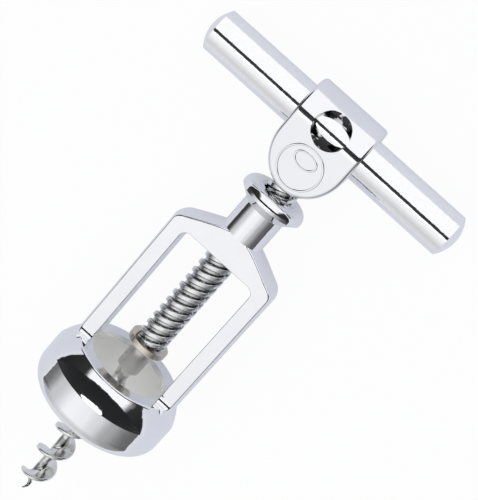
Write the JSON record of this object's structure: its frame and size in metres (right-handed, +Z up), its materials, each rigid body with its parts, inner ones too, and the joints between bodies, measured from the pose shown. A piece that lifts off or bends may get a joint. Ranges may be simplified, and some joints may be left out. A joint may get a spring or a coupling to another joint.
{
  "type": "corkscrew",
  "caption": "Chromed bell corkscrew with an open frame, a coarse threaded spindle, a bladed worm and a straight bar handle.",
  "frame": {"origin": "middle of the tool's footprint, on the table it lies on", "axes": "+X along the tool from the worm's point to the handle, +Y along the handle bar to the left of the front face, +Z up out of the table on the side of the front face; the tool's own axis leans 6.8 degrees down towards the handle"},
  "size_m": [0.1506, 0.0846, 0.0423],
  "materials": {
    "chromed_casting": "bright plated over a polished casting",
    "chromed_bar": "bright plated, drawn bar",
    "bright_steel": "plated steel, a little duller in the thread roots",
    "nickel_ring": "dull warm nickel"
  },
  "bodies": {
    "frame": {"bell_frame": "chromed_casting"},
    "washer": {"stop_washer": "nickel_ring"},
    "spindle": {"threaded_spindle": "bright_steel", "worm": "bright_steel", "handle_head": "chromed_casting", "handle_bar": "chromed_bar"}
  },
  "joints": [
    {"name": "spindle_travel", "type": "slide", "parent": "frame", "child": "washer", "axis": [0.993, 0, -0.118], "range_m": [-0.0029, 0.033]},
    {"name": "spindle_turn", "type": "hinge", "parent": "washer", "child": "spindle", "pos_m": [0.02052, 0, 0.01488], "axis": [0.993, 0, -0.118], "range_deg": [-120, 1351]}
  ],
  "couplings": [
    {"joint": "spindle_turn", "follows": "spindle_travel", "rad_per_m": 714}
  ]
}
